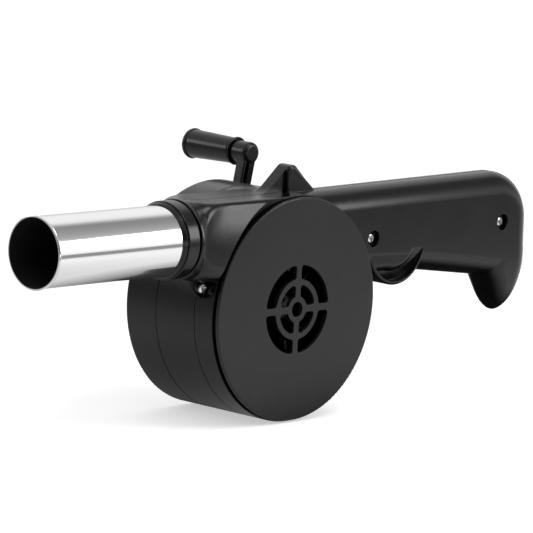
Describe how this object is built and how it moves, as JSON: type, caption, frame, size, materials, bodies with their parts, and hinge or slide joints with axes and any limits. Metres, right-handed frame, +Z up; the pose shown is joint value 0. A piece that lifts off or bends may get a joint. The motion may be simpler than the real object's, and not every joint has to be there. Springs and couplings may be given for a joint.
{
  "type": "hand crank forge blower",
  "caption": "Hand-held forge blower: a side crank drives a geared fan in a round drum, which blows air through a polished steel nozzle.",
  "frame": {"origin": "centre of the nozzle mouth", "axes": "+X along the nozzle into the tool, towards the handle; +Y towards the crank side; +Z up. The body halves part on y = 0."},
  "size_m": [0.2923, 0.1015, 0.1105],
  "materials": {
    "body_plastic": "satin black moulded plastic, fine spark texture",
    "disc_plastic": "matte black moulded plastic",
    "crank_plastic": "smooth black moulded plastic",
    "knob_plastic": "smooth black moulded plastic",
    "polished_steel": "polished stainless steel with fine lengthwise grain",
    "screw_steel": "bright zinc plated steel",
    "shaft_steel": "ground steel",
    "spring_steel": "oiled spring steel",
    "dark_steel": "blackened steel",
    "bush_brass": "turned brass",
    "gear_nylon": "natural nylon",
    "fan_plastic": "black moulded plastic"
  },
  "bodies": {
    "housing": {"near_shell": "body_plastic", "far_shell": "body_plastic", "gear_case_cover": "body_plastic", "inlet_cover": "disc_plastic", "nozzle_tube": "polished_steel", "nozzle_collar": "body_plastic", "handle_screws": "screw_steel", "ear_screws": "screw_steel", "gear_case_screws": "screw_steel", "fan_bush": "bush_brass", "crank_bush_inner": "bush_brass", "crank_bush_outer": "bush_brass", "idler_axle": "shaft_steel", "idler_clip": "spring_steel"},
    "crank": {"crank_gear": "gear_nylon", "crank_shaft": "shaft_steel", "crank_washer": "dark_steel", "crank_arm": "crank_plastic", "crank_screw": "screw_steel", "knob_pin": "shaft_steel"},
    "knob": {"knob_grip": "knob_plastic", "knob_end_cap": "knob_plastic"},
    "idler": {"idler_gear": "gear_nylon"},
    "fan": {"impeller": "fan_plastic", "impeller_nut": "dark_steel", "fan_shaft": "shaft_steel", "fan_pinion": "gear_nylon"}
  },
  "joints": [
    {"name": "crank_spin", "type": "hinge", "parent": "housing", "child": "crank", "pos_m": [0.1585, 0.0463, -0.032], "axis": [0, 1, 0], "continuous": true},
    {"name": "knob_spin", "type": "hinge", "parent": "crank", "child": "knob", "pos_m": [0.16952, 0.0694, 0.02418], "axis": [0, 1, 0], "continuous": true},
    {"name": "idler_spin", "type": "hinge", "parent": "housing", "child": "idler", "pos_m": [0.14049, 0.0288, -0.056], "axis": [0, 1, 0], "continuous": true},
    {"name": "fan_spin", "type": "hinge", "parent": "housing", "child": "fan", "pos_m": [0.14, 0.01, -0.032], "axis": [0, 1, 0], "continuous": true}
  ],
  "couplings": [
    {"joint": "idler_spin", "follows": "crank_spin", "ratio": -4},
    {"joint": "fan_spin", "follows": "crank_spin", "ratio": 12}
  ]
}
